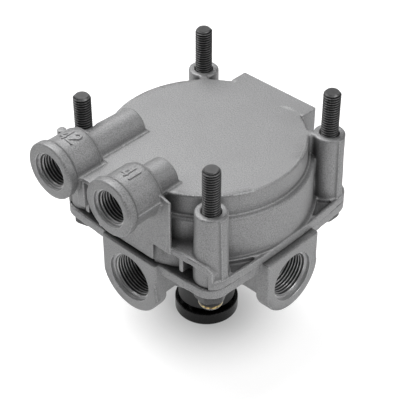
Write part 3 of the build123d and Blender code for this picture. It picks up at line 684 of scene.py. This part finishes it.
def numerals():
    """The raised port numbers, as thin relief that grows out of the tubes."""
    pieces = []
    for number, paths in numeral_paths().items():
        steps = [np.arange(*span, STROKE_STEP) for span in (NUMBER_ROUND, NUMBER_ALONG)]
        across, along = np.meshgrid(*steps)
        distance = np.min([line_distance(across, along, path) for path in paths], axis=0)
        share = np.clip((STROKE_HALF + STROKE_FLANK - distance) / STROKE_FLANK, 0, 1)
        rise = share * share * (3 - 2 * share)
        radius = CONTROL_TUBE_R - STROKE_SINK + rise * (STROKE_SINK + STROKE_RISE)
        angle = across / CONTROL_TUBE_R
        x = CONTROL_PORTS[number] + radius * np.sin(angle)
        points = np.stack([x, along, radius * np.cos(angle)], axis=-1)
        rows, columns = distance.shape
        near = distance < STROKE_HALF + STROKE_FLANK + STROKE_STEP
        faces = []
        for row in range(rows - 1):
            for column in range(columns - 1):
                if near[row:row + 2, column:column + 2].all():
                    first = row * columns + column
                    faces.append((first, first + 1, first + columns + 1, first + columns))
        piece = link("number_" + number, build_mesh("number_" + number, points.reshape(-1, 3), faces))
        flank = 4 * share * (1 - share)
        # Painted highlight on the upper flanks and painted shade round the feet of the strokes.
        set_attribute(piece.data, "edge", (share > STROKE_HIGHLIGHT).astype(float).ravel() * flank.ravel())
        set_attribute(piece.data, "corner_shade", (share < STROKE_SHADE).astype(float).ravel())
        with editing(piece.data) as solid:
            loose = [vert for vert in solid.verts if not vert.link_faces]
            bmesh.ops.delete(solid, geom=loose, context="VERTS")
        with_modifier(piece, "SOLIDIFY", thickness=STROKE_THICKNESS * MM, offset=-1)
        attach(piece, "housing")
        pieces.append(piece)
    return pieces


# Materials

def shader(name, color, metallic, roughness, **extra):
    """A new material, with a function that adds a linked node and one that feeds the main shader."""
    material = bpy.data.materials.new(name)
    material.use_nodes = True
    nodes = material.node_tree.nodes
    bsdf = nodes["Principled BSDF"]
    bsdf.inputs["Base Color"].default_value = (*color, 1)
    bsdf.inputs["Metallic"].default_value = metallic
    bsdf.inputs["Roughness"].default_value = roughness
    for key, value in extra.items():
        bsdf.inputs[key.replace("_", " ")].default_value = value

    def add(kind, inputs=None, **settings):
        node = nodes.new("ShaderNode" + kind)
        for key, value in settings.items():
            setattr(node, key, value)
        for key, value in (inputs or {}).items():
            if isinstance(value, bpy.types.NodeSocket):
                material.node_tree.links.new(value, node.inputs[key])
            else:
                node.inputs[key].default_value = value
        return node

    def feed(socket, value):
        material.node_tree.links.new(value, bsdf.inputs[socket])

    return material, add, feed


def grain(add, size, detail=3.0, distortion=0.0):
    """Noise whose grains are about one size in millimetres across."""
    place = add("TexCoord")
    inputs = {"Vector": place.outputs["Object"], "Scale": 1 / (size * MM), "Detail": detail,
              "Distortion": distortion}
    return add("TexNoise", inputs).outputs["Fac"]


def spread(add, value, low, high, to_low, to_high):
    """Map a value from one range to another."""
    inputs = {"Value": value, "From Min": low, "From Max": high, "To Min": to_low, "To Max": to_high}
    return add("MapRange", inputs).outputs["Result"]


def named(add, attribute):
    """The numbers that the mesh carries under a name."""
    return add("Attribute", attribute_name=attribute).outputs["Fac"]


def blend_colors(add, factor, first, second):
    """Mix two colours by a factor."""
    return add("Mix", {0: factor, 6: first, 7: second}, data_type="RGBA").outputs[2]


def toward(add, color, mark, low, high, share, tone):
    """Blend a colour towards a tone, from not at all to a share as a mark goes from low to high."""
    return blend_colors(add, spread(add, mark, low, high, 0, share), color, tone)


def gray(level):
    """A neutral colour."""
    return (level, level, level * 1.01, 1)


def blend_values(add, factor, first, second):
    """Mix two numbers by a factor."""
    return add("Mix", {0: factor, 2: first, 3: second}, data_type="FLOAT").outputs[0]


def add_bump(add, feed, height, strength, distance):
    """Roughen the surface by a height; the distance is in millimetres."""
    inputs = {"Strength": strength, "Distance": distance * MM, "Height": height}
    feed("Normal", add("Bump", inputs).outputs["Normal"])


def cast_aluminium():
    """Blasted die cast aluminium: fine light and dark grain, lighter edges that are partly wear and partly
    painted highlight, and painted shade in pockets, inner corners and along the seam.
    """
    material, add, feed = shader("cast_aluminium", (0.3, 0.3, 0.305), 0.6, 0.55)
    fine = grain(add, 0.5, 2.5)
    coarse = grain(add, 1.7, 2.0)
    clouds = grain(add, 14.0, 3.0)
    color = toward(add, gray(0.22), fine, 0.36, 0.64, 1.0, gray(0.42))
    color = toward(add, color, coarse, 0.35, 0.65, 0.4, gray(0.34))
    color = toward(add, color, clouds, 0.3, 0.7, 0.3, gray(0.27))
    shaded = named(add, "shade")
    color = toward(add, color, shaded, 0.25, 0.75, 0.88, gray(0.02))
    edge = named(add, "edge")
    corner_shade = named(add, "corner_shade")
    machined = named(add, "machined")
    # Painted shade in the inner corners.
    color = toward(add, color, corner_shade, 0, 1, 0.5, gray(0.1))
    # Lighter edges, partly wear and partly painted highlight, broken up by the grain.
    patchy = spread(add, fine, 0.35, 0.6, 0.35, 1.0)
    worn = add("Math", {0: spread(add, edge, 0.2, 1, 0, 0.65), 1: patchy}, operation="MULTIPLY").outputs[0]
    color = blend_colors(add, worn, color, gray(0.68))
    color = toward(add, color, machined, 0, 1, 0.85, gray(0.36))
    seam_shade = named(add, "seam_shade")
    # Painted shade along the line where the castings meet.
    color = toward(add, color, seam_shade, 0.2, 0.8, 0.9, gray(0.03))
    feed("Base Color", color)
    rough = spread(add, fine, 0.3, 0.7, 0.48, 0.64)
    feed("Roughness", blend_values(add, machined, rough, 0.36))
    add_bump(add, feed, blend_values(add, 0.35, fine, coarse), 0.7, 0.2)
    return material


def machined_aluminium(name, level, roughness):
    """Turned aluminium with fine rings round the valve axis."""
    material, add, feed = shader(name, (level, level, level * 1.01), 0.9, roughness)
    place = add("TexCoord").outputs["Object"]
    split = add("SeparateXYZ", {"Vector": place})
    flat = add("CombineXYZ", {"X": split.outputs["X"], "Y": split.outputs["Y"]})
    radius = add("VectorMath", {0: flat.outputs["Vector"]}, operation="LENGTH").outputs["Value"]
    rings = add("TexNoise", {"W": radius, "Scale": 1 / (0.35 * MM), "Detail": 3.0}, noise_dimensions="1D")
    mark = rings.outputs["Fac"]
    clouds = grain(add, 6.0)
    color = toward(add, gray(level * 0.86), mark, 0.3, 0.7, 1, gray(level * 1.1))
    color = toward(add, color, clouds, 0.3, 0.7, 0.3, gray(level * 0.8))
    feed("Base Color", color)
    feed("Roughness", spread(add, mark, 0.3, 0.7, roughness - 0.06, roughness + 0.08))
    add_bump(add, feed, mark, 0.3, 0.03)
    return material


def thread_aluminium():
    """Cut aluminium thread: bright crests, painted shade in the grooves, and painted shade that deepens into
    the bore.
    """
    material, add, feed = shader("cut_thread", (0.4, 0.4, 0.405), 0.7, 0.36)
    fine = grain(add, 0.3, 3.0)
    clouds = grain(add, 3.0, 3.0)
    color = toward(add, gray(0.5), fine, 0.35, 0.65, 1, gray(0.7))
    color = toward(add, color, clouds, 0.35, 0.7, 0.3, gray(0.4))
    depth = named(add, "depth")
    # Painted shade that deepens into the bore.
    color = toward(add, color, depth, 0.4, 1.0, 0.6, gray(0.03))
    groove_shade_and_head_tone = named(add, "groove_shade_and_head_tone")
    # Painted shade: the grooves go near black.
    color = toward(add, color, groove_shade_and_head_tone, 0.05, 0.5, 0.97, gray(0.012))
    feed("Base Color", color)
    feed("Metallic", spread(add, groove_shade_and_head_tone, 0.05, 0.5, 0.5, 0.2))
    feed("Roughness", spread(add, fine, 0.3, 0.7, 0.3, 0.45))
    add_bump(add, feed, fine, 0.3, 0.05)
    return material


def black_steel():
    """Black phosphated steel: grey on the thread crests and on the stud ends, painted shade that blackens the
    grooves, and a darker head.
    """
    material, add, feed = shader("black_phosphate", (0.05, 0.05, 0.052), 0.5, 0.4)
    fine = grain(add, 0.25, 3.0)
    clouds = grain(add, 2.2, 3.0)
    color = toward(add, gray(0.09), fine, 0.35, 0.65, 1, gray(0.2))
    color = toward(add, color, clouds, 0.45, 0.75, 0.4, gray(0.16))
    groove_shade_and_head_tone = named(add, "groove_shade_and_head_tone")
    # Painted shade: the grooves go near black.
    color = toward(add, color, groove_shade_and_head_tone, 0.05, 0.6, 0.97, gray(0.006))
    worn = named(add, "worn")
    color = toward(add, color, worn, 0, 1, 0.8, gray(0.09))
    feed("Base Color", color)
    feed("Roughness", spread(add, fine, 0.3, 0.7, 0.34, 0.5))
    add_bump(add, feed, fine, 0.25, 0.05)
    return material


def spring_steel():
    """Drawn spring steel."""
    material, add, feed = shader("spring_steel", (0.42, 0.42, 0.43), 0.95, 0.3)
    fine = grain(add, 0.5, 3.0)
    color = toward(add, gray(0.34), fine, 0.3, 0.7, 1, gray(0.5))
    feed("Base Color", color)
    feed("Roughness", spread(add, fine, 0.3, 0.7, 0.22, 0.4))
    return material


def yellow_zinc():
    """Yellow passivated zinc painted as a dark reflection, with a broken band of painted gold glints near its
    lower rim.
    """
    material, add, feed = shader("yellow_zinc", (0.3, 0.22, 0.08), 0.9, 0.12, Specular_IOR_Level=0.25)
    clouds = grain(add, 2.4, 2.0, 0.6)
    patches = grain(add, 1.1, 2.0, 0.4)
    bright, greenish, reddish = (0.62, 0.42, 0.1, 1), (0.4, 0.34, 0.16, 1), (0.6, 0.3, 0.16, 1)
    gold = toward(add, bright, clouds, 0.35, 0.65, 1, greenish)
    gold = toward(add, gold, patches, 0.55, 0.75, 0.6, reddish)
    height = add("SeparateXYZ", {"Vector": add("TexCoord").outputs["Object"]}).outputs["Z"]
    above = add("Math", {0: height, 1: -CAP_GLINT_Z * MM}, operation="ADD").outputs[0]
    away = add("Math", {0: above}, operation="ABSOLUTE").outputs[0]
    painted_glint_band = spread(add, away, 0.5 * MM, 0.9 * MM, 1.0, 0.0)
    broken = spread(add, clouds, 0.38, 0.58, 0.1, 1.0)
    painted_glint_band = add("Math", {0: painted_glint_band, 1: broken}, operation="MULTIPLY").outputs[0]
    # Painted reflection: dark but for the broken band of painted gold glints near the lower rim.
    feed("Base Color", blend_colors(add, painted_glint_band, gray(0.02), gold))
    feed("Metallic", painted_glint_band)
    feed("Roughness", spread(add, patches, 0.3, 0.7, 0.12, 0.24))
    return material


def black_plastic(name, level, roughness, gloss=0.5):
    """Moulded black plastic with a fine skin."""
    material, add, feed = shader(name, (level, level, level), 0.0, roughness, Specular_IOR_Level=gloss)
    fine = grain(add, 0.5, 3.0)
    clouds = grain(add, 9.0, 3.0)
    color = toward(add, gray(level * 0.8), clouds, 0.35, 0.65, 1, gray(level * 1.25))
    feed("Base Color", color)
    feed("Roughness", spread(add, fine, 0.3, 0.7, roughness - 0.05, roughness + 0.08))
    add_bump(add, feed, fine, 0.15, 0.04)
    return material


def seal_rubber():
    """Black rubber, dull with a faint bloom."""
    material, add, feed = shader("seal_rubber", (0.016, 0.016, 0.016), 0.0, 0.58)
    clouds = grain(add, 2.5, 3.0)
    fine = grain(add, 0.3, 2.0)
    color = toward(add, gray(0.012), clouds, 0.4, 0.7, 1, gray(0.026))
    feed("Base Color", color)
    feed("Roughness", spread(add, fine, 0.3, 0.7, 0.5, 0.68))
    return material


def dress(obj, *materials):
    """Give an object its materials, the first of them on every face."""
    obj.data.materials.clear()
    for material in materials:
        obj.data.materials.append(material)


# The object

def upper_casting():
    """The skin of the upper housing, with its whole lobe."""
    flats = [(2, 0.0), (2, SPLIT_Z), (1, CONTROL_FACE_Y + FACE_INSET), (1, FRONT_WALL_Y)]
    ports = [((0, 2), 1, (x, 0.0), CONTROL_FACE_Y, SMALL_MOUTH, SMALL_THREAD) for x in CONTROL_PORTS.values()]
    return cast_skin("upper_casting", "upper_housing", flats, [CONTROL_ROOM, RELAY_ROOM], upper_machined,
                     ports, LOBE)


def lower_casting():
    """The skin of the lower housing."""
    flats = [(2, SPLIT_Z), (2, HEAD_TOP), (1, FACE_INSET - SUPPLY_FACE)]
    flats += [(0, side * (DELIVERY_FACE - FACE_INSET)) for side in (1, -1)]
    centre = (0.0, LARGE_PORT_Z)
    ports = [((0, 2), 1, centre, -SUPPLY_FACE, LARGE_MOUTH, LARGE_THREAD)]
    ports += [((1, 2), 0, centre, side * DELIVERY_FACE, LARGE_MOUTH, LARGE_THREAD) for side in (-1, 1)]
    bores = [SEAT_BORE, GUIDE_BORE, DELIVERY_ROOM]
    return cast_skin("lower_casting", "lower_housing", flats, bores, lower_machined, ports)


castings = [upper_casting(), lower_casting()]
shade_skins(castings)
cast = cast_aluminium()
port_threads(thread_aluminium(), cast)
phosphate = black_steel()
for piece in bolts():
    dress(piece, phosphate)
for piece in castings + numerals():
    dress(piece, cast)

piston_metal = machined_aluminium("piston_aluminium", 0.62, 0.32)
steel = spring_steel()
rubber = seal_rubber()
guide_plastic = black_plastic("guide_plastic", 0.03, 0.4)
sleeve_plastic = black_plastic("sleeve_plastic", 0.02, 0.5)
ring_plastic = black_plastic("ring_plastic", 0.006, 0.22, 0.3)
zinc = yellow_zinc()
for node, material in {
    "control_piston": piston_metal,
    "relay_piston": piston_metal,
    "control_piston_oring": rubber,
    "relay_piston_oring": rubber,
    "housing_seal": rubber,
    "valve_rubber": rubber,
    "guide_outer_oring": rubber,
    "guide_stem_oring": rubber,
    "exhaust_flap": rubber,
    "valve_body": guide_plastic,
    "valve_guide": guide_plastic,
    "exhaust_sleeve": sleeve_plastic,
    "exhaust_ring": ring_plastic,
    "front_bolt_cap": zinc,
    "piston_snap_ring": steel,
    "valve_spring": steel,
    "spring_seat": steel,
    "guide_circlip": steel,
}.items():
    dress(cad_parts[node], material)
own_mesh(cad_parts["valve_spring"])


# Floor, light and camera

def floor():
    """A wide pale floor under the exhaust ring, white to the camera but for the lamps' shadow and a painted
    shadow round the object.
    """
    corners = [(x * FLOOR_HALF, y * FLOOR_HALF, FLOOR_Z) for x, y in ((-1, -1), (1, -1), (1, 1), (-1, 1))]
    plane = link("floor", build_mesh("floor", corners, [(0, 1, 2, 3)]))
    material, add, feed = shader("floor_white", (FLOOR_GRAY, FLOOR_GRAY, FLOOR_GRAY), 0.0, 0.7,
                                 Specular_IOR_Level=0.2, Emission_Color=(1, 1, 1, 1))
    path = add("LightPath")
    rays = {0: path.outputs["Is Camera Ray"], 1: path.outputs["Is Glossy Ray"]}
    seen = add("Math", rays, operation="MAXIMUM").outputs[0]
    flat = add("VectorMath", {0: add("TexCoord").outputs["Object"], 1: (1, 1, 0)}, operation="MULTIPLY")
    away = add("VectorMath", {0: flat.outputs["Vector"]}, operation="LENGTH").outputs["Value"]
    # Painted shadow: the glow is low next to the object and rises to white farther out.
    level = spread(add, away, *FLOOR_SHADOW_FADE, *FLOOR_GLOW)
    level.node.interpolation_type = "SMOOTHSTEP"
    feed("Emission Strength", add("Math", {0: seen, 1: level}, operation="MULTIPLY").outputs[0])
    dress(plane, material)


def studio_world():
    """A dim even room that the camera and glossy surfaces see as white."""
    world = bpy.data.worlds.new("studio")
    bpy.context.scene.world = world
    world.use_nodes = True
    tree = world.node_tree
    background = tree.nodes["Background"]
    path = tree.nodes.new("ShaderNodeLightPath")
    level = tree.nodes.new("ShaderNodeMapRange")
    tree.links.new(path.outputs["Is Camera Ray"], level.inputs["Value"])
    level.inputs["To Min"].default_value = ROOM_LEVEL
    level.inputs["To Max"].default_value = 1.0
    tree.links.new(level.outputs["Result"], background.inputs["Strength"])
    background.inputs["Color"].default_value = (1, 1, 1, 1)


def soft_light(name, place, aim, size, power):
    """A square area light that faces a point."""
    data = bpy.data.lights.new(name, "AREA")
    data.size = size
    data.energy = power
    lamp = link(name, data)
    lamp.location = place
    lamp.rotation_euler = (Vector(aim) - Vector(place)).to_track_quat("-Z", "Y").to_euler()


def photo_camera():
    """The camera, at the photograph's angle and distance."""
    eye = Vector((sin(AZIMUTH) * cos(ELEVATION), -cos(AZIMUTH) * cos(ELEVATION), sin(ELEVATION)))
    data = bpy.data.cameras.new("camera")
    data.sensor_width = SENSOR_WIDTH
    data.lens = FOCAL_PIXELS / PICTURE_PIXELS * SENSOR_WIDTH
    data.clip_start = 0.01
    camera = link("camera", data)
    camera.location = (AIM + eye * DISTANCE) * MM
    camera.rotation_euler = (-eye).to_track_quat("-Z", "Y").to_euler()
    bpy.context.scene.camera = camera


floor()
studio_world()
for light, (place, aim, size, power) in LIGHTS.items():
    soft_light(light, place, aim, size, power)
photo_camera()
bpy.context.scene.view_settings.view_transform = "Standard"

bpy.context.view_layer.update()
